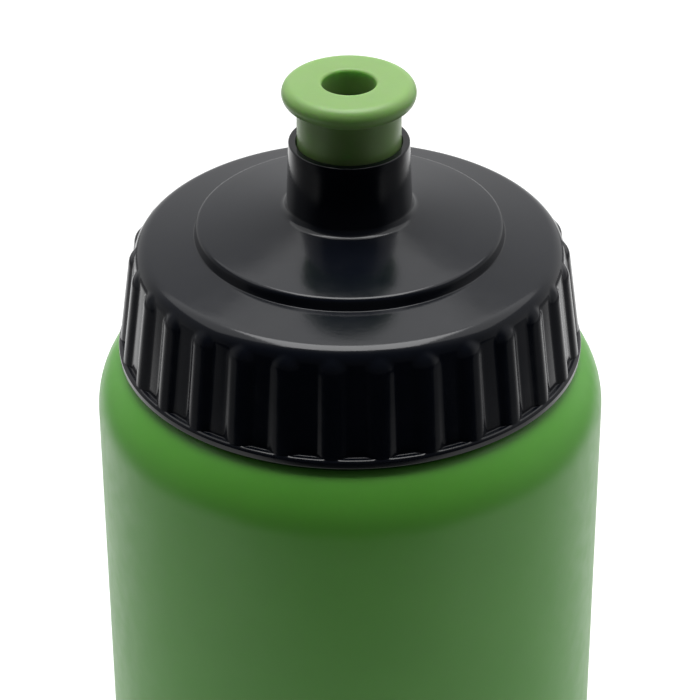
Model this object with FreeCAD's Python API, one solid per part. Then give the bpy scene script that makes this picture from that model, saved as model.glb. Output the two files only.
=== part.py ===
"""Sports squeeze bottle: a soft bottle, a ribbed screw lid and a push-pull drinking spout.

Millimetres, +Z up, origin at the centre of the base. Heights on the lid, gasket, valve core and spout
are given from the underside of the lid's rim (rim_z), with the lid screwed down and the spout pulled open.
"""

import FreeCAD, Part
import math
import os

# ---- driving dimensions -------------------------------------------------------------------------

total_height = 190.0
spout_top = 41.6                      # top of the spout's flange above the lid's rim
rim_z = total_height - spout_top      # underside of the lid's rim

# bottle
body_radius = 36.5
body_wall = 1.2
base_edge_radius = 6.0
standing_ring_inner = 26.0
push_up_radius = 21.0
push_up_height = 3.2
push_up_rise = 1.3                    # further rise of the base from the push-up's edge to the centre
shoulder_start_z = rim_z - 9.4
shoulder_radius = 11.1
shoulder_sweep = 52.0                 # degrees of the shoulder's arc, from the straight wall up to the land
shoulder_land_z = rim_z - 0.7         # nearly flat land between the shoulder's arc and the neck
shoulder_land_taper = 0.3             # how much narrower the land is at its top than at the arc's end
neck_top_z = rim_z + 13.5
neck_radius = 27.45                   # root of the neck's thread
neck_bore = 25.85

# screw thread between neck and lid: one right-hand start
thread_lead = 6.0
thread_turns = 1.25
thread_depth = 1.2
thread_root_width = 2.2
thread_crest_width = 1.0
thread_embed = 0.5                    # how far a tooth reaches into the wall that carries it
neck_thread_start = 2.9               # centre of the tooth's first end above rim_z
lid_thread_offset = -2.15             # the lid's tooth runs this far below the neck's
lid_thread_lag = 0.27                 # turns by which the lid's tooth starts after the neck's

# lid
lid_bore = 29.0
lid_thread_crest = 27.8
lid_ceiling = 14.8
lid_flare = 30.9                      # lead-in at the mouth of the lid
lid_flare_height = 4.0
rim_radius = 33.16
rim_height = 1.38
rim_edge_radius = 0.5
wall_foot_radius = 32.2
wall_top_radius = 30.2247
wall_top = 16.6244                    # where the wall and the top would meet without their rounding
lid_edge_radius = 2.5
lid_skin = 1.9
disc_foot_radius = 21.9
disc_foot = 18.16
disc_radius = 21.56
disc_edge = 19.8
disc_edge_radius = 0.7
collar_foot_radius = 8.87
collar_foot = 22.4
collar_foot_fillet = 1.3
collar_radius = 8.43
collar_top = 32.6
collar_bore = 7.35                    # guides the spout's neck
stop_bore = 7.85                      # lets the spout's bead pass below the stop step
stop_step = 24.0
inner_tube_radius = 9.3
inner_tube_end = 12.8
step_overlap = 1.3                    # how far the disc's underside stops short of its edge
plug_inner = 24.2                     # sealing skirt that enters the bottle's neck
plug_outer = 25.4
plug_end = 11.9

# ribs on the lid's side wall
rib_count = 30
rib_phase = -4.5                      # degrees from the front (-Y) to the nearest rib, positive to the right
rib_radius = 2.9
rib_crest_foot = 33.13                # crest radius at the rim
rib_lean = 7.67                       # degrees by which the crest leans in
rib_end_height = 13.78                # where the crest line ends and the rib's ball-shaped top begins
rib_start = 0.6                       # height of the ribs' lower ends, inside the rim ring

# gasket
gasket_inner = 25.5
gasket_outer = 27.8
gasket_thickness = 1.2

# valve core
core_ring_bottom = 12.8
core_ring_top = 15.6
core_ring_bore = 5.9
core_flange_radius = 9.3
core_flange_thickness = 0.9
spoke_count = 3
spoke_width = 1.5
stem_radius = 2.0
pin_radius = 3.64
pin_bottom = 33.0
pin_top = 35.6

# spout
hole_radius = 3.74
hole_bottom = 37.9
chamber_radius = 5.2
chamber_top = 36.4
flange_radius = 9.3
flange_thickness = 3.15
flange_edge_radius = 1.55
spout_neck_radius = 7.25
spout_bottom = 21.7
bead_radius = 7.75
bead_height = 1.5

# ring seal on the spout's neck
seal_centre = 30.9
seal_section = 0.55
seal_outer = 7.30
seal_play = 0.05

# small corner roundings that the mouldings share
fine_edge = 0.2
small_edge = 0.3
medium_edge = 0.6

axis = FreeCAD.Vector(0, 0, 1)
origin = FreeCAD.Vector(0, 0, 0)


# ---- geometry helpers ---------------------------------------------------------------------------

def unit(vector):
    return FreeCAD.Vector(vector).normalize()


def rounded_face(points):
    """Closed face in the XZ plane from (radius, height, corner radius) points, with its corners rounded."""
    corners = [FreeCAD.Vector(r, 0, z) for r, z, _ in points]
    ends = []
    for i, (_, _, radius) in enumerate(points):
        here = corners[i]
        if radius == 0:
            ends.append((here, None, here))
            continue
        back = unit(corners[i - 1] - here)
        ahead = unit(corners[(i + 1) % len(points)] - here)
        half = back.getAngle(ahead) / 2
        reach = radius / math.tan(half)
        centre = here + unit(back + ahead) * (radius / math.sin(half))
        ends.append((here + back * reach, centre + unit(here - centre) * radius, here + ahead * reach))
    edges = []
    for i, (start, middle, end) in enumerate(ends):
        if middle is not None:
            edges.append(Part.Arc(start, middle, end).toShape())
        following = ends[(i + 1) % len(ends)][0]
        if end.distanceToPoint(following) > 1e-6:
            edges.append(Part.LineSegment(end, following).toShape())
    return Part.Face(Part.Wire(edges))


def turned(points):
    """Solid of revolution about the Z axis."""
    return rounded_face(points).revolve(origin, axis, 360)


def raised(points, height):
    return [(r, z + height, radius) for r, z, radius in points]


def helical_tooth(wall_radius, crest_radius, start_z, start_turn):
    """Trapezoid swept along the thread's helix, rooted in the wall at wall_radius."""
    inward = 1 if crest_radius < wall_radius else -1
    root_radius = wall_radius + inward * thread_embed
    flare = (thread_root_width - thread_crest_width) / 2 / thread_depth
    root_half = thread_root_width / 2 + flare * thread_embed
    crest_half = thread_crest_width / 2
    corners = [
        FreeCAD.Vector(root_radius, 0, -root_half),
        FreeCAD.Vector(crest_radius, 0, -crest_half),
        FreeCAD.Vector(crest_radius, 0, crest_half),
        FreeCAD.Vector(root_radius, 0, root_half),
    ]
    section = Part.makePolygon(corners + corners[:1])
    helix = Part.makeHelix(thread_lead, thread_lead * thread_turns, wall_radius)
    tooth = Part.Wire(helix.Edges).makePipeShell([section], True, True)
    tooth.rotate(origin, axis, 360 * start_turn)
    tooth.translate(FreeCAD.Vector(0, 0, start_z))
    return tooth


# ---- sub-parts ----------------------------------------------------------------------------------

def shoulder_arc(radius):
    """Corner and upper end of the shoulder's arc, for its outer or inner face, as (radius, height)."""
    sweep = math.radians(shoulder_sweep)
    centre = body_radius - shoulder_radius
    corner = (centre + radius, shoulder_start_z + radius * math.tan(sweep / 2))
    end = (centre + radius * math.cos(sweep), shoulder_start_z + radius * math.sin(sweep))
    return corner, end


def bottle_body():
    corner, end = shoulder_arc(shoulder_radius)
    inner_corner, inner_end = shoulder_arc(shoulder_radius - body_wall)
    land_under = shoulder_land_z - body_wall
    centre_z = push_up_height + push_up_rise
    inside = medium_edge              # the inner face of the base lies this much further out
    shell = turned([
        (0, centre_z, 0),
        (push_up_radius, push_up_height, 2.0),
        (standing_ring_inner, 0, 1.0),
        (body_radius, 0, base_edge_radius),
        (*corner, shoulder_radius),
        (*end, 0),
        (end[0] - shoulder_land_taper, shoulder_land_z, 0),
        (neck_radius, shoulder_land_z, 0.8),
        (neck_radius, neck_top_z, 0.4),
        (neck_bore, neck_top_z, 0.4),
        (neck_bore, land_under, 1.6),
        (inner_end[0], land_under, 0),
        (*inner_end, 0),
        (*inner_corner, shoulder_radius - body_wall),
        (body_radius - body_wall, body_wall, base_edge_radius - body_wall),
        (standing_ring_inner + inside, body_wall, 1.0),
        (push_up_radius + inside, push_up_height + body_wall, 2.0),
        (0, centre_z + body_wall, 0),
    ])
    tooth = helical_tooth(neck_radius, neck_radius + thread_depth, rim_z + neck_thread_start, 0)
    return shell.fuse(tooth)


def lid_shell():
    """The lid without its ribs and thread: rim, wall, raised disc, collar, inner tube and sealing skirt."""
    disc_slope = (collar_foot - disc_edge) / (disc_radius - collar_foot_radius)
    ring_slope = (disc_foot - wall_top) / (wall_top_radius - disc_foot_radius)
    step_radius = disc_radius - step_overlap

    def under_disc(radius):
        return (radius, disc_edge - lid_skin + disc_slope * (disc_radius - radius), medium_edge)

    def under_ring(radius):
        return (radius, disc_foot - lid_skin + ring_slope * (disc_foot_radius - radius), medium_edge)

    return turned(raised([
        (rim_radius, 0, small_edge),
        (rim_radius, rim_height, rim_edge_radius),
        (wall_foot_radius, rim_height, fine_edge),
        (wall_top_radius, wall_top, lid_edge_radius),
        (disc_foot_radius, disc_foot, fine_edge),
        (disc_radius, disc_edge, disc_edge_radius),
        (collar_foot_radius, collar_foot, collar_foot_fillet),
        (collar_radius, collar_top, fine_edge),
        (collar_bore, collar_top, fine_edge),
        (collar_bore, stop_step, 0),
        (stop_bore, stop_step - 0.4, 0),
        (stop_bore, inner_tube_end, 0),
        (inner_tube_radius, inner_tube_end, 0),
        under_disc(inner_tube_radius),
        under_disc(step_radius),
        under_ring(step_radius - 0.1),
        under_ring(plug_inner),
        (plug_inner, plug_end, small_edge),
        (plug_outer, plug_end, small_edge),
        (plug_outer, lid_ceiling, 0),
        (lid_bore, lid_ceiling, 0.9),
        (lid_bore, lid_flare_height, 0),
        (lid_flare, 0, 0),
    ], rim_z))


def lid_rib():
    """One grip rib at the front (-Y): a leaning round bar with a ball-shaped top that sinks into the lid's edge."""
    lean = math.radians(rib_lean)
    upward = FreeCAD.Vector(0, math.sin(lean), math.cos(lean))
    outward = FreeCAD.Vector(0, -math.cos(lean), math.sin(lean))
    axis_foot = FreeCAD.Vector(0, -rib_crest_foot, rim_z) - outward * rib_radius
    length = rib_end_height / math.cos(lean)
    bar = Part.makeCylinder(rib_radius, length - rib_start, axis_foot + upward * rib_start, upward)
    return bar.fuse(Part.makeSphere(rib_radius, axis_foot + upward * length))


def screw_lid():
    core = Part.makeCylinder(lid_bore + small_edge, total_height, origin)
    rib = lid_rib().cut(core)
    ribs = []
    for k in range(rib_count):
        copy = rib.copy()
        copy.rotate(origin, axis, rib_phase + 360.0 * k / rib_count)
        ribs.append(copy)
    start = rim_z + neck_thread_start + lid_thread_offset + thread_lead * lid_thread_lag
    tooth = helical_tooth(lid_bore, lid_thread_crest, start, lid_thread_lag)
    return lid_shell().fuse(ribs).fuse(tooth)


def lid_gasket():
    top = rim_z + lid_ceiling
    bottom = top - gasket_thickness
    return turned([
        (gasket_inner, bottom, small_edge),
        (gasket_outer, bottom, small_edge),
        (gasket_outer, top, small_edge),
        (gasket_inner, top, small_edge),
    ])


def valve_core():
    """Fixed pin on three spokes inside the collar; the spout's hole closes over its head."""
    flange_bottom = core_ring_bottom - core_flange_thickness
    ring = turned(raised([
        (core_ring_bore, flange_bottom, fine_edge),
        (core_flange_radius, flange_bottom, fine_edge),
        (core_flange_radius, core_ring_bottom, 0),
        (stop_bore, core_ring_bottom, 0),
        (stop_bore, core_ring_top, small_edge),
        (core_ring_bore, core_ring_top, small_edge),
    ], rim_z))
    pin = turned(raised([
        (0, flange_bottom, 0),
        (stem_radius, flange_bottom, small_edge),
        (stem_radius, pin_bottom - (pin_radius - stem_radius), medium_edge),
        (pin_radius, pin_bottom, small_edge),
        (pin_radius, pin_top, 0.5),
        (0, pin_top + fine_edge, 0),
    ], rim_z))
    spoke_inset = 0.5                 # how far a spoke reaches into the stem and into the ring
    height = core_ring_top - flange_bottom - 2 * fine_edge
    length = core_ring_bore - stem_radius + 2 * spoke_inset
    corner = FreeCAD.Vector(stem_radius - spoke_inset, -spoke_width / 2, rim_z + flange_bottom + fine_edge)
    spokes = []
    for k in range(spoke_count):
        spoke = Part.makeBox(length, spoke_width, height, corner)
        spoke.rotate(origin, axis, 30 + 360.0 * k / spoke_count)
        spokes.append(spoke)
    return ring.fuse([pin] + spokes)


def pull_spout():
    under = spout_top - flange_thickness
    groove_low = seal_centre - seal_section - seal_play
    groove_high = seal_centre + seal_section + seal_play
    groove_floor = seal_outer - 2 * seal_section - seal_play
    return turned(raised([
        (hole_radius, spout_top, 0.45),
        (hole_radius, hole_bottom, 0),
        (chamber_radius, chamber_top, 0),
        (chamber_radius, spout_bottom, 0.3),
        (bead_radius, spout_bottom, 0.4),
        (bead_radius, spout_bottom + bead_height, 0.3),
        (spout_neck_radius, spout_bottom + bead_height + 0.4, 0),
        (spout_neck_radius, groove_low, 0),
        (groove_floor, groove_low, 0),
        (groove_floor, groove_high, 0),
        (spout_neck_radius, groove_high, 0),
        (spout_neck_radius, under, 0.5),
        (flange_radius, under, flange_edge_radius),
        (flange_radius, spout_top, flange_edge_radius),
    ], rim_z))


def spout_seal():
    centre = FreeCAD.Vector(0, 0, rim_z + seal_centre)
    return Part.makeTorus(seal_outer - seal_section, seal_section, centre)


# ---- output -------------------------------------------------------------------------------------

parts = {
    "bottle_body": bottle_body,
    "screw_lid": screw_lid,
    "lid_gasket": lid_gasket,
    "valve_core": valve_core,
    "pull_spout": pull_spout,
    "spout_seal": spout_seal,
}

os.makedirs("parts", exist_ok=True)
for node, make in parts.items():
    solids = make().Solids
    assert len(solids) == 1 and solids[0].isValid(), node
    solids[0].exportStep(f"parts/{node}.step")
    print(node, round(solids[0].Volume / 1000, 2), "cm3")
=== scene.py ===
"""Sports squeeze bottle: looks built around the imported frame. Metres, +Z up, -Y is the front."""

import bpy
import math
from mathutils import Matrix, Vector


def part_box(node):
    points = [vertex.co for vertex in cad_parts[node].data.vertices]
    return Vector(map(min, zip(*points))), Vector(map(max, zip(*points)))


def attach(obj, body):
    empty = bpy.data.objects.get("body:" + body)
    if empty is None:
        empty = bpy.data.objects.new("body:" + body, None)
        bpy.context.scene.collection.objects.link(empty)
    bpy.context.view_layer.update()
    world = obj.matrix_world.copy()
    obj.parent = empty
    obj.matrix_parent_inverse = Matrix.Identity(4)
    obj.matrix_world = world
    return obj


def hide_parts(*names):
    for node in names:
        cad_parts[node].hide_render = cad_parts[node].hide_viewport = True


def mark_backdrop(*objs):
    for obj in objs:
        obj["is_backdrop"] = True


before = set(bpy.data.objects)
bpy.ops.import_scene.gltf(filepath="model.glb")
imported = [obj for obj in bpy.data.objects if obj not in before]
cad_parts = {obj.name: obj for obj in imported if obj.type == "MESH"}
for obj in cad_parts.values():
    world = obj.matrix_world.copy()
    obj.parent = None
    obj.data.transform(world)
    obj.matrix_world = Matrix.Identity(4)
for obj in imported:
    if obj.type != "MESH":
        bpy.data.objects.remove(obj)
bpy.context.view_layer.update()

MM = 0.001

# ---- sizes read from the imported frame, in millimetres; heights are above the lid's rim -----------

_, bottle_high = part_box("bottle_body")
lid_low, lid_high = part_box("screw_lid")
spout_low, spout_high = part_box("pull_spout")
_, gasket_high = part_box("lid_gasket")

BODY_RADIUS = bottle_high.x / MM
RIM_Z = lid_low.z / MM                # the lid's rim above the floor
NECK_TOP = bottle_high.z / MM - RIM_Z
COLLAR_TOP = lid_high.z / MM - RIM_Z
SPOUT_TOP = spout_high.z / MM - RIM_Z
SPOUT_BOTTOM = spout_low.z / MM - RIM_Z
FLANGE_RADIUS = spout_high.x / MM
CEILING = gasket_high.z / MM - RIM_Z

# ---- proportions of the visible mouldings, in millimetres; heights are above the lid's rim -------

# bottle; the heights of its base are above the floor
BODY_WALL = 1.2
BASE_EDGE_RADIUS = 6.0
STANDING_RING_INNER = 26.0
STANDING_RING_ROUNDING = 1.0
PUSH_UP_RADIUS = 21.0
PUSH_UP_HEIGHT = 3.2
PUSH_UP_CENTRE = 4.5
PUSH_UP_ROUNDING = 2.0
SHOULDER_RADIUS = 11.1
SHOULDER_START = -9.4
SHOULDER_SWEEP = math.radians(52)
SHOULDER_LAND = -0.7
LAND_TAPER = 0.3
NECK_RADIUS = 27.45
NECK_BORE = 25.85
NECK_FOOT_FILLET = 0.8
NECK_INNER_FILLET = 1.6
NECK_EDGE = 0.4

# screw thread between neck and lid
THREAD_LEAD = 6.0
THREAD_TURNS = 1.25
THREAD_DEPTH = 1.2
THREAD_ROOT = 2.2
THREAD_CREST = 1.0
THREAD_FADE = 0.06                    # turns over which a tooth grows at its ends
NECK_THREAD_START = 2.9
LID_THREAD_OFFSET = -2.15
LID_THREAD_LAG = 0.27                 # turns by which the lid's tooth starts after the neck's

# lid
LID_BORE = 29.0
LID_FLARE = 30.9
LID_FLARE_HEIGHT = 4.0
CEILING_FILLET = 0.9
RIM_RADIUS = 33.16
RIM_HEIGHT = 1.38
RIM_EDGE_RADIUS = 0.5
WALL_FOOT = (32.2, RIM_HEIGHT)        # radius and height
WALL_TOP = (30.2247, 16.6244)
LID_EDGE_RADIUS = 2.5
LID_SKIN = 1.9
STEP_OVERLAP = 1.3                    # how far the disc's underside stops short of its edge
STEP_WIDTH = 0.1
DISC_FOOT = (21.9, 18.16)
DISC_EDGE = (21.56, 19.8)
DISC_EDGE_RADIUS = 0.7
COLLAR_FOOT = (8.87, 22.4)
COLLAR_FOOT_FILLET = 1.3
COLLAR_RADIUS = 8.43
COLLAR_BORE = 7.35
STOP_BORE = 7.85
STOP_STEP = 24.0
STOP_BEVEL = 0.4
TUBE_RADIUS = 9.3
TUBE_END = 12.8
PLUG_INNER = 24.2
PLUG_OUTER = 25.4
PLUG_END = 11.9

# ribs on the lid's side wall
RIB_COUNT = 30
RIB_PHASE = math.radians(-4.5)        # from the front (-Y) to the nearest rib, positive to the right
RIB_RADIUS = 2.9
RIB_CREST_FOOT = 33.13                # crest radius at the rim
RIB_LEAN = math.radians(7.67)
RIB_END_HEIGHT = 13.78                # where the crest line ends and the rib's ball-shaped top begins
RIB_FILLET = 0.22                     # width over which a rib blends into the wall
RIB_FILLET_LOW = 0.02                 # the same width at the rim
RIB_FILLET_RISE = 0.3                 # height above the rim where the blend is full

# spout
HOLE_RADIUS = 3.74
HOLE_BOTTOM = 37.9
HOLE_EDGE = 0.45
CHAMBER_RADIUS = 5.2
CHAMBER_TOP = 36.4
FLANGE_THICKNESS = 3.15
FLANGE_EDGE = 1.55
FLANGE_FOOT_FILLET = 0.5
SPOUT_NECK = 7.25
BEAD_RADIUS = 7.75
BEAD_HEIGHT = 1.5
BEAD_EDGE = 0.4
BEAD_BEVEL = 0.4
GROOVE = (30.3, 31.5)                 # heights of its lower and upper side
GROOVE_FLOOR = 6.15

# small corner roundings that the mouldings share
FINE_EDGE = 0.2
SMALL_EDGE = 0.3
MEDIUM_EDGE = 0.6

# how finely the meshes are divided
ARC_STEP = math.radians(5)
BOTTLE_SEGMENTS = 256
LID_SEGMENTS_PER_RIB = 20
SPOUT_SEGMENTS = 160
SHARP_ANGLE = math.radians(40)
NO_LENGTH = 1e-5                      # shorter runs and radii count as none
ON_WALL = 0.01                        # tolerance for telling which wall a point of an outline is on

# ---- camera and light ---------------------------------------------------------------------------

CAMERA_DISTANCE = 0.4288
CAMERA_ELEVATION = math.radians(31.85)
CAMERA_LENS = 153.15
CAMERA_ROLL = math.radians(-0.23)
SENSOR_WIDTH = 36
AIM_DROP = 1.63 * MM                  # the camera aims this far below the middle of the lid's rim

ROOM_LIGHT = 0.03                     # brightness of the room in front of the object
SIDE_LIGHT = 0.30                     # at the sides
BACKDROP_LIGHT = 0.69                 # and behind it
TABLE_LIGHT = 0.78                    # light from the table, beside the object and in front of it
TABLE_BACK_LIGHT = 1.2
TABLE_SIDE_SHARE = 0.15               # what is left of it far out to the sides
TABLE_FRONT = -0.205                  # where the table ends in front
TABLE_FRONT_BLUR = 0.04
TABLE_HALF_WIDTH = 0.9
TABLE_BACK = 1.2
FLOOR_HALF_WIDTH = 4.0
FLOOR_GLOW = 0.35


# ---- mesh helpers -------------------------------------------------------------------------------

def rotated(vector, angle):
    c, s = math.cos(angle), math.sin(angle)
    return Vector((vector.x * c - vector.y * s, vector.x * s + vector.y * c))


def rounded(points):
    """Closed outline from (radius, height, corner radius, spacing) points: corners become arcs, and the
    straight run that follows a point is divided so that its pieces are no longer than spacing."""
    corners = [Vector(p[:2]) for p in points]
    count = len(corners)
    arcs = []
    for i, here in enumerate(corners):
        radius = points[i][2]
        if radius == 0:
            arcs.append([here])
            continue
        back = (corners[i - 1] - here).normalized()
        ahead = (corners[(i + 1) % count] - here).normalized()
        half = back.angle(ahead) / 2
        centre = here + (back + ahead).normalized() * (radius / math.sin(half))
        start = here + back * (radius / math.tan(half)) - centre
        sweep = math.pi - 2 * half
        turn = 1 if back.cross(ahead) < 0 else -1
        steps = max(3, math.ceil(sweep / ARC_STEP))
        angles = [turn * sweep * k / steps for k in range(steps + 1)]
        arcs.append([centre + rotated(start, a) for a in angles])
    outline = []
    for i, arc in enumerate(arcs):
        outline.extend(arc)
        run = arcs[(i + 1) % count][0] - arc[-1]
        pieces = max(1, math.ceil(run.length / points[i][3]))
        outline.extend(arc[-1] + run * (k / pieces) for k in range(1, pieces))
    return [p for i, p in enumerate(outline) if (p - outline[i - 1]).length > NO_LENGTH]


def lathe(name, outline, segments, shape=None):
    """Mesh of revolution about +Z. shape(angle, radius, height) gives the radius of a face that isn't round;
    angles are measured from the front (-Y) to the right."""
    verts = []
    rings = []
    for r, z in outline:
        if r < NO_LENGTH:
            rings.append([len(verts)] * segments)
            verts.append((0, 0, (z + RIM_Z) * MM))
            continue
        rings.append(range(len(verts), len(verts) + segments))
        for j in range(segments):
            angle = 2 * math.pi * j / segments
            radius = shape(angle, r, z) if shape else r
            x, y = radius * math.sin(angle), -radius * math.cos(angle)
            verts.append((x * MM, y * MM, (z + RIM_Z) * MM))
    faces = []
    is_ring = min(r for r, _ in outline) > NO_LENGTH
    for i in range(len(rings) if is_ring else len(rings) - 1):
        low, high = rings[i], rings[(i + 1) % len(rings)]
        for j in range(segments):
            k = (j + 1) % segments
            face = [low[j], low[k], high[k], high[j]]
            face = [v for n, v in enumerate(face) if v != face[n - 1]]
            if len(face) > 2:
                faces.append(face)
    mesh = bpy.data.meshes.new(name)
    mesh.from_pydata(verts, [], faces)
    mesh.validate()
    mesh.shade_smooth()
    mesh.set_sharp_from_angle(angle=SHARP_ANGLE)
    return linked(name, mesh)


def linked(name, data):
    """New object with this data, in the scene."""
    item = bpy.data.objects.new(name, data)
    bpy.context.scene.collection.objects.link(item)
    return item


def smooth_max(a, b, width):
    """The larger of a and b, blended over width where they are close."""
    h = max(width - abs(a - b), 0) / width
    return max(a, b) + h * h * width / 4


def smooth_step(low, high, value):
    t = min(max((value - low) / (high - low), 0), 1)
    return t * t * (3 - 2 * t)


def tooth_height(angle, z, start_z, start_turn):
    """Height of the screw thread's tooth at a place on its wall, 0 away from the tooth."""
    best = 0
    turn = ((angle - math.pi / 2) / (2 * math.pi)) % 1      # turns about +Z from +X
    flank = (THREAD_ROOT - THREAD_CREST) / 2
    for whole in range(-1, 3):
        along = turn + whole - start_turn
        if not 0 <= along <= THREAD_TURNS:
            continue
        away = abs(z - start_z - THREAD_LEAD * along)
        rise = 1 - smooth_step(0, flank, away - THREAD_CREST / 2)
        grown = smooth_step(0, THREAD_FADE, min(along, THREAD_TURNS - along))
        best = max(best, THREAD_DEPTH * rise * grown)
    return best


# ---- bottle -------------------------------------------------------------------------------------

def shoulder_arc(radius):
    """Corner and upper end of the shoulder's arc, for its outer or inner face, as (radius, height)."""
    centre = BODY_RADIUS - SHOULDER_RADIUS
    corner = (centre + radius, SHOULDER_START + radius * math.tan(SHOULDER_SWEEP / 2))
    end = (centre + radius * math.cos(SHOULDER_SWEEP), SHOULDER_START + radius * math.sin(SHOULDER_SWEEP))
    return corner, end


def bottle():
    corner, end = shoulder_arc(SHOULDER_RADIUS)
    inner_corner, inner_end = shoulder_arc(SHOULDER_RADIUS - BODY_WALL)
    floor_z = -RIM_Z
    land_under = SHOULDER_LAND - BODY_WALL
    inside = MEDIUM_EDGE              # the inner face of the base lies this much further out
    outline = rounded([
        (0, floor_z + PUSH_UP_CENTRE, 0, 4),
        (PUSH_UP_RADIUS, floor_z + PUSH_UP_HEIGHT, PUSH_UP_ROUNDING, 1),
        (STANDING_RING_INNER, floor_z, STANDING_RING_ROUNDING, 1),
        (BODY_RADIUS, floor_z, BASE_EDGE_RADIUS, 4),
        (*corner, SHOULDER_RADIUS, 1),
        (*end, 0, 0.1),
        (end[0] - LAND_TAPER, SHOULDER_LAND, 0, 1),
        (NECK_RADIUS, SHOULDER_LAND, NECK_FOOT_FILLET, 0.3),
        (NECK_RADIUS, NECK_TOP, NECK_EDGE, 1),
        (NECK_BORE, NECK_TOP, NECK_EDGE, 2),
        (NECK_BORE, land_under, NECK_INNER_FILLET, 2),
        (inner_end[0], land_under, 0, 0.1),
        (*inner_end, 0, 1),
        (*inner_corner, SHOULDER_RADIUS - BODY_WALL, 4),
        (BODY_RADIUS - BODY_WALL, floor_z + BODY_WALL, BASE_EDGE_RADIUS - BODY_WALL, 1),
        (STANDING_RING_INNER + inside, floor_z + BODY_WALL, STANDING_RING_ROUNDING, 1),
        (PUSH_UP_RADIUS + inside, floor_z + PUSH_UP_HEIGHT + BODY_WALL, PUSH_UP_ROUNDING, 4),
        (0, floor_z + PUSH_UP_CENTRE + BODY_WALL, 0, 4),
    ])

    def shape(angle, r, z):
        """Puts the thread on the neck's outer wall."""
        on_neck = z > SHOULDER_LAND + NECK_FOOT_FILLET and r > NECK_RADIUS - ON_WALL
        return r + tooth_height(angle, z, NECK_THREAD_START, 0) if on_neck else r

    piece = lathe("bottle_moulding", outline, BOTTLE_SEGMENTS, shape)
    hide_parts("bottle_body")
    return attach(piece, "bottle")


# ---- lid ----------------------------------------------------------------------------------------

def rib_surface(angle, z):
    """Radius of the ribs' surface, or 0 beside them: each is a leaning round bar with a ball-shaped top."""
    pitch = 2 * math.pi / RIB_COUNT
    offset = (angle - RIB_PHASE + pitch / 2) % pitch - pitch / 2
    if z < RIB_END_HEIGHT:
        centre = RIB_CREST_FOOT - math.tan(RIB_LEAN) * z - RIB_RADIUS
        above = 0
    else:
        centre = RIB_CREST_FOOT - math.tan(RIB_LEAN) * RIB_END_HEIGHT - RIB_RADIUS * math.cos(RIB_LEAN)
        above = z - RIB_END_HEIGHT + RIB_RADIUS * math.sin(RIB_LEAN)
    inside = RIB_RADIUS ** 2 - above ** 2 - (centre * math.sin(offset)) ** 2
    return centre * math.cos(offset) + math.sqrt(inside) if inside > 0 else 0


def on_ribbed_face(r, z):
    """Whether a point of the lid's outline is on the outer side that carries the ribs."""
    if z < LID_FLARE_HEIGHT:
        return z > RIM_HEIGHT - RIM_EDGE_RADIUS and r > LID_FLARE + SMALL_EDGE
    if z < WALL_TOP[1] - 1:
        return r > LID_BORE + FINE_EDGE
    return r > PLUG_OUTER + LID_SKIN


def lid():
    disc_slope = (COLLAR_FOOT[1] - DISC_EDGE[1]) / (DISC_EDGE[0] - COLLAR_FOOT[0])
    ring_slope = (DISC_FOOT[1] - WALL_TOP[1]) / (WALL_TOP[0] - DISC_FOOT[0])
    step_radius = DISC_EDGE[0] - STEP_OVERLAP

    def under_disc(radius, spacing):
        return (radius, DISC_EDGE[1] - LID_SKIN + disc_slope * (DISC_EDGE[0] - radius), MEDIUM_EDGE, spacing)

    def under_ring(radius, spacing):
        return (radius, DISC_FOOT[1] - LID_SKIN + ring_slope * (DISC_FOOT[0] - radius), MEDIUM_EDGE, spacing)

    outline = rounded([
        (RIM_RADIUS, 0, SMALL_EDGE, 1),
        (RIM_RADIUS, RIM_HEIGHT, RIM_EDGE_RADIUS, 0.2),
        (*WALL_FOOT, FINE_EDGE, 0.25),
        (*WALL_TOP, LID_EDGE_RADIUS, 1),
        (*DISC_FOOT, FINE_EDGE, 0.5),
        (*DISC_EDGE, DISC_EDGE_RADIUS, 2),
        (*COLLAR_FOOT, COLLAR_FOOT_FILLET, 2),
        (COLLAR_RADIUS, COLLAR_TOP, FINE_EDGE, 1),
        (COLLAR_BORE, COLLAR_TOP, FINE_EDGE, 2),
        (COLLAR_BORE, STOP_STEP, 0, 1),
        (STOP_BORE, STOP_STEP - STOP_BEVEL, 0, 2),
        (STOP_BORE, TUBE_END, 0, 1),
        (TUBE_RADIUS, TUBE_END, 0, 2),
        under_disc(TUBE_RADIUS, 2),
        under_disc(step_radius, 1),
        under_ring(step_radius - STEP_WIDTH, 2),
        under_ring(PLUG_INNER, 2),
        (PLUG_INNER, PLUG_END, SMALL_EDGE, 1),
        (PLUG_OUTER, PLUG_END, SMALL_EDGE, 1),
        (PLUG_OUTER, CEILING, 0, 2),
        (LID_BORE, CEILING, CEILING_FILLET, 0.35),
        (LID_BORE, LID_FLARE_HEIGHT, 0, 0.5),
        (LID_FLARE, 0, 0, 1),
    ])
    thread_start = NECK_THREAD_START + LID_THREAD_OFFSET + THREAD_LEAD * LID_THREAD_LAG

    def shape(angle, r, z):
        """Puts the ribs on the lid's outer side and the thread in its bore."""
        if on_ribbed_face(r, z):
            full = smooth_step(RIM_HEIGHT - RIM_EDGE_RADIUS, RIM_HEIGHT + RIB_FILLET_RISE, z)
            return smooth_max(r, rib_surface(angle, z), max(RIB_FILLET * full, RIB_FILLET_LOW))
        if abs(r - LID_BORE) < ON_WALL:
            return r - tooth_height(angle, z, thread_start, LID_THREAD_LAG)
        return r

    piece = lathe("lid_moulding", outline, LID_SEGMENTS_PER_RIB * RIB_COUNT, shape)
    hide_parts("screw_lid")
    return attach(piece, "lid")


# ---- spout --------------------------------------------------------------------------------------

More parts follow.
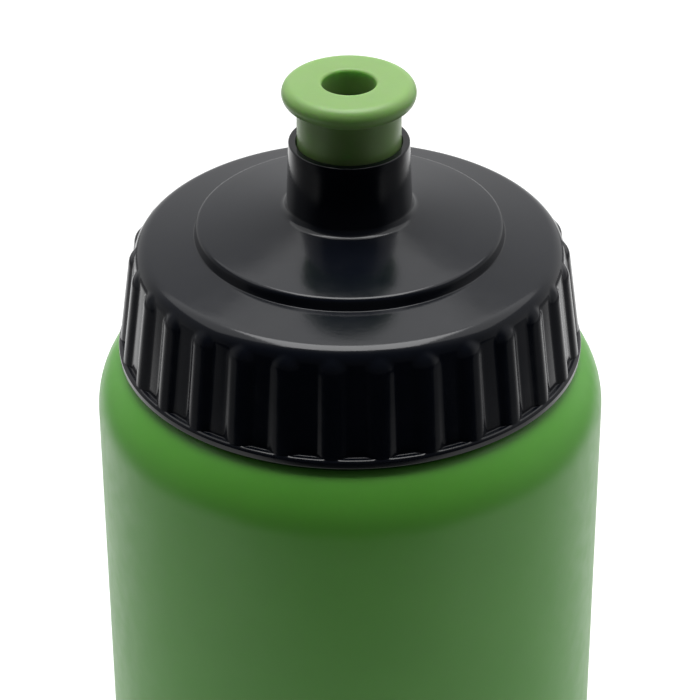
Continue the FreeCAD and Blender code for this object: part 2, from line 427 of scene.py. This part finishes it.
def spout():
    under = SPOUT_TOP - FLANGE_THICKNESS
    bead_top = SPOUT_BOTTOM + BEAD_HEIGHT
    outline = rounded([
        (HOLE_RADIUS, SPOUT_TOP, HOLE_EDGE, 1),
        (HOLE_RADIUS, HOLE_BOTTOM, 0, 1),
        (CHAMBER_RADIUS, CHAMBER_TOP, 0, 2),
        (CHAMBER_RADIUS, SPOUT_BOTTOM, SMALL_EDGE, 1),
        (BEAD_RADIUS, SPOUT_BOTTOM, BEAD_EDGE, 1),
        (BEAD_RADIUS, bead_top, SMALL_EDGE, 1),
        (SPOUT_NECK, bead_top + BEAD_BEVEL, 0, 1),
        (SPOUT_NECK, GROOVE[0], 0, 1),
        (GROOVE_FLOOR, GROOVE[0], 0, 1),
        (GROOVE_FLOOR, GROOVE[1], 0, 1),
        (SPOUT_NECK, GROOVE[1], 0, 1),
        (SPOUT_NECK, under, FLANGE_FOOT_FILLET, 1),
        (FLANGE_RADIUS, under, FLANGE_EDGE, 1),
        (FLANGE_RADIUS, SPOUT_TOP, FLANGE_EDGE, 1),
    ])
    piece = lathe("spout_moulding", outline, SPOUT_SEGMENTS)
    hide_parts("pull_spout")
    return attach(piece, "spout")


# ---- node helpers -------------------------------------------------------------------------------

def new_material(name):
    material = bpy.data.materials.new(name)
    material.use_nodes = True
    tree = material.node_tree
    return material, tree, tree.nodes["Principled BSDF"]


def noise(tree, scale, detail, stretch=(1, 1, 1)):
    """Noise over object space, in metres: scale is waves per metre."""
    coords = tree.nodes.new("ShaderNodeTexCoord")
    mapping = tree.nodes.new("ShaderNodeMapping")
    mapping.inputs["Scale"].default_value = stretch
    tree.links.new(coords.outputs["Object"], mapping.inputs["Vector"])
    node = tree.nodes.new("ShaderNodeTexNoise")
    node.inputs["Scale"].default_value = scale
    node.inputs["Detail"].default_value = detail
    tree.links.new(mapping.outputs["Vector"], node.inputs["Vector"])
    return node.outputs["Fac"]


def map_range(tree, source, low, high, bottom, top, interpolation):
    node = tree.nodes.new("ShaderNodeMapRange")
    node.interpolation_type = interpolation
    for key, value in (("From Min", low), ("From Max", high), ("To Min", bottom), ("To Max", top)):
        node.inputs[key].default_value = value
    tree.links.new(source, node.inputs["Value"])
    return node.outputs["Result"]


def ramp(tree, source, bottom, top):
    """Spreads noise, which keeps near its middle, over bottom to top."""
    return map_range(tree, source, 0.3, 0.7, bottom, top, "LINEAR")


def fade(tree, source, low, high, bottom, top):
    """Smooth change from bottom to top as the source goes from low to high."""
    return map_range(tree, source, low, high, bottom, top, "SMOOTHSTEP")


def join(tree, operation, *sources):
    node = tree.nodes.new("ShaderNodeMath")
    node.operation = operation
    for source, socket in zip(sources, node.inputs):
        tree.links.new(source, socket)
    return node.outputs["Value"]


def direction(tree, kind):
    """X and Y of the object's coordinates (Object) or of the world's direction (Generated)."""
    coords = tree.nodes.new("ShaderNodeTexCoord")
    split = tree.nodes.new("ShaderNodeSeparateXYZ")
    tree.links.new(coords.outputs[kind], split.inputs["Vector"])
    return split.outputs["X"], split.outputs["Y"]


def colour_mix(tree, source, first, second):
    node = tree.nodes.new("ShaderNodeMix")
    node.data_type = "RGBA"
    node.inputs["A"].default_value = (*first, 1)
    node.inputs["B"].default_value = (*second, 1)
    tree.links.new(source, node.inputs["Factor"])
    return node.outputs["Result"]


def cloudy_colour(tree, shader, cloud, first, second):
    """Colour that drifts from first to second with the cloud noise."""
    tree.links.new(colour_mix(tree, ramp(tree, cloud, 0, 1), first, second), shader.inputs["Base Color"])


def bump(tree, shader, sources):
    """Chains bumps of (height source, distance in metres)."""
    previous = None
    for source, distance in sources:
        node = tree.nodes.new("ShaderNodeBump")
        node.inputs["Distance"].default_value = distance
        tree.links.new(source, node.inputs["Height"])
        if previous:
            tree.links.new(previous, node.inputs["Normal"])
        previous = node.outputs["Normal"]
    tree.links.new(previous, shader.inputs["Normal"])


# ---- materials ----------------------------------------------------------------------------------

def soft_green(name, dark, light, roughness, depth, reach):
    """Satin polyethylene: slightly cloudy colour, light that scatters under the skin, a fine mould grain.
    depth is the share of light that goes under the skin, and reach how far it gets, in millimetres."""
    material, tree, shader = new_material(name)
    cloudy_colour(tree, shader, noise(tree, 90, 3), dark, light)
    polish = ramp(tree, noise(tree, 400, 2), roughness - 0.03, roughness + 0.04)
    tree.links.new(polish, shader.inputs["Roughness"])
    shader.inputs["Subsurface Weight"].default_value = depth
    shader.inputs["Subsurface Radius"].default_value = (0.6, 1.0, 0.35)
    shader.inputs["Subsurface Scale"].default_value = reach * MM
    shader.inputs["IOR"].default_value = 1.51
    grain = noise(tree, 2600, 2)
    waves = noise(tree, 160, 1, (1, 1, 0.3))
    bump(tree, shader, [(grain, 0.006 * MM), (waves, 0.03 * MM)])
    return material


def black_plastic(name, roughness):
    """Semi-gloss polypropylene: near black, with a fine grain and a slightly uneven polish."""
    material, tree, shader = new_material(name)
    cloudy_colour(tree, shader, noise(tree, 120, 3), (0.0035, 0.0050, 0.0090), (0.0050, 0.0065, 0.0115))
    polish = ramp(tree, noise(tree, 260, 3), roughness - 0.03, roughness + 0.03)
    tree.links.new(polish, shader.inputs["Roughness"])
    shader.inputs["IOR"].default_value = 1.49
    bump(tree, shader, [(noise(tree, 1900, 2), 0.004 * MM)])
    return material


def rubber(name, colour, roughness):
    """Matt silicone rubber with a fine tooth."""
    material, tree, shader = new_material(name)
    darker = tuple(0.8 * c for c in colour)
    cloudy_colour(tree, shader, noise(tree, 300, 2), darker, colour)
    shader.inputs["Roughness"].default_value = roughness
    bump(tree, shader, [(noise(tree, 3000, 2), 0.01 * MM)])
    return material


def floor_white():
    material, tree, shader = new_material("studio_floor")
    cloudy_colour(tree, shader, noise(tree, 6, 2), (0.90, 0.90, 0.90), (0.93, 0.93, 0.93))
    shader.inputs["Roughness"].default_value = 0.9
    shader.inputs["Emission Color"].default_value = (1, 1, 1, 1)
    shader.inputs["Emission Strength"].default_value = FLOOR_GLOW
    return material


def glow_material():
    """Light from a white table under the object: it ends in front, and fades off to the sides."""
    material, tree, shader = new_material("table_glow")
    x, y = direction(tree, "Object")
    front_low, front_high = TABLE_FRONT - TABLE_FRONT_BLUR, TABLE_FRONT + TABLE_FRONT_BLUR
    front_edge = fade(tree, y, front_low, front_high, 0, 1)
    side_edge = fade(tree, join(tree, "ABSOLUTE", x), 0.22, 0.38, 1, TABLE_SIDE_SHARE)
    depth = fade(tree, y, 0.0, 0.15, TABLE_LIGHT, TABLE_BACK_LIGHT)
    strength = join(tree, "MULTIPLY", join(tree, "MULTIPLY", front_edge, side_edge), depth)
    light = tree.nodes.new("ShaderNodeEmission")
    tree.links.new(strength, light.inputs["Strength"])
    tree.nodes.remove(shader)
    tree.links.new(light.outputs["Emission"], tree.nodes["Material Output"].inputs["Surface"])
    return material


def dress(piece, material):
    piece.data.materials.clear()
    piece.data.materials.append(material)


# ---- floor, light and camera --------------------------------------------------------------------

def flat_sheet(name, half_width, front, back, height):
    corners = [(-half_width, front), (half_width, front), (half_width, back), (-half_width, back)]
    mesh = bpy.data.meshes.new(name)
    mesh.from_pydata([(x, y, height) for x, y in corners], [], [(0, 1, 2, 3)])
    return linked(name, mesh)


def floor():
    """The floor that the camera sees. It gives the object no light: table_glow does."""
    piece = flat_sheet("studio_floor", FLOOR_HALF_WIDTH, -FLOOR_HALF_WIDTH, FLOOR_HALF_WIDTH, 0)
    dress(piece, floor_white())
    piece.visible_glossy = False
    piece.visible_diffuse = False
    piece.visible_shadow = False
    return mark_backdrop(piece)


def table_glow():
    """A sheet just under the floor that lights the object from below, unseen by the camera."""
    piece = flat_sheet("table_glow", TABLE_HALF_WIDTH, -TABLE_HALF_WIDTH, TABLE_BACK, -1 * MM)
    dress(piece, glow_material())
    piece.visible_camera = False
    piece.visible_shadow = False
    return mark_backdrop(piece)


def softbox(name, place, width, depth, power):
    """A rectangular light that hangs at place and shines straight down."""
    light = bpy.data.lights.new(name, "AREA")
    light.shape = "RECTANGLE"
    light.size = width
    light.size_y = depth
    light.energy = power
    linked(name, light).location = place


def studio_world():
    """A bright backdrop behind the object, dimmer sides, and a dark room in front."""
    world = bpy.data.worlds.new("studio")
    world.use_nodes = True
    bpy.context.scene.world = world
    tree = world.node_tree
    x, y = direction(tree, "Generated")
    sides = fade(tree, y, -0.65, 0.10, ROOM_LIGHT, SIDE_LIGHT)
    backdrop = fade(tree, y, 0.25, 0.70, 0, BACKDROP_LIGHT - SIDE_LIGHT)
    brighter_right = fade(tree, x, -1, 1, 0.75, 1.25)
    light = join(tree, "ADD", join(tree, "MULTIPLY", sides, brighter_right), backdrop)
    tree.links.new(light, tree.nodes["Background"].inputs["Strength"])
    tree.nodes["Background"].inputs["Color"].default_value = (1, 1, 1, 1)


def camera():
    data = bpy.data.cameras.new("camera")
    data.lens = CAMERA_LENS
    data.sensor_width = SENSOR_WIDTH
    data.clip_start = 0.01
    eye = linked("camera", data)
    target = Vector((0, 0, lid_low.z))
    arm = Vector((0, -math.cos(CAMERA_ELEVATION), math.sin(CAMERA_ELEVATION)))
    eye.location = target + arm * CAMERA_DISTANCE
    look = target - Vector((0, 0, AIM_DROP)) - eye.location
    turn = look.to_track_quat("-Z", "Y").to_matrix().to_4x4() @ Matrix.Rotation(CAMERA_ROLL, 4, "Z")
    eye.rotation_euler = turn.to_euler()
    bpy.context.scene.camera = eye


# ---- scene --------------------------------------------------------------------------------------

camera()
floor()
studio_world()
table_glow()
softbox("overhead_softbox", (0, 0.125, 0.95), 0.6, 0.54, 4.2)
softbox("ceiling_panel", (0, 0.30, 0.97), 2.0, 0.9, 4.6)

bottle_green = ((0.146, 0.51, 0.062), (0.155, 0.53, 0.067))
spout_green = ((0.27, 0.46, 0.15), (0.29, 0.49, 0.16))
dress(bottle(), soft_green("bottle_polyethylene", *bottle_green, roughness=0.36, depth=0.3, reach=1.8))
dress(lid(), black_plastic("lid_polypropylene", 0.145))
dress(spout(), soft_green("spout_polyethylene", *spout_green, roughness=0.34, depth=0.85, reach=2.6))
dress(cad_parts["valve_core"], black_plastic("core_polypropylene", 0.3))
dress(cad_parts["lid_gasket"], rubber("gasket_silicone", (0.62, 0.62, 0.60), 0.55))
dress(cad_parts["spout_seal"], rubber("seal_silicone", (0.02, 0.02, 0.02), 0.5))

bpy.context.scene.view_settings.view_transform = "Standard"
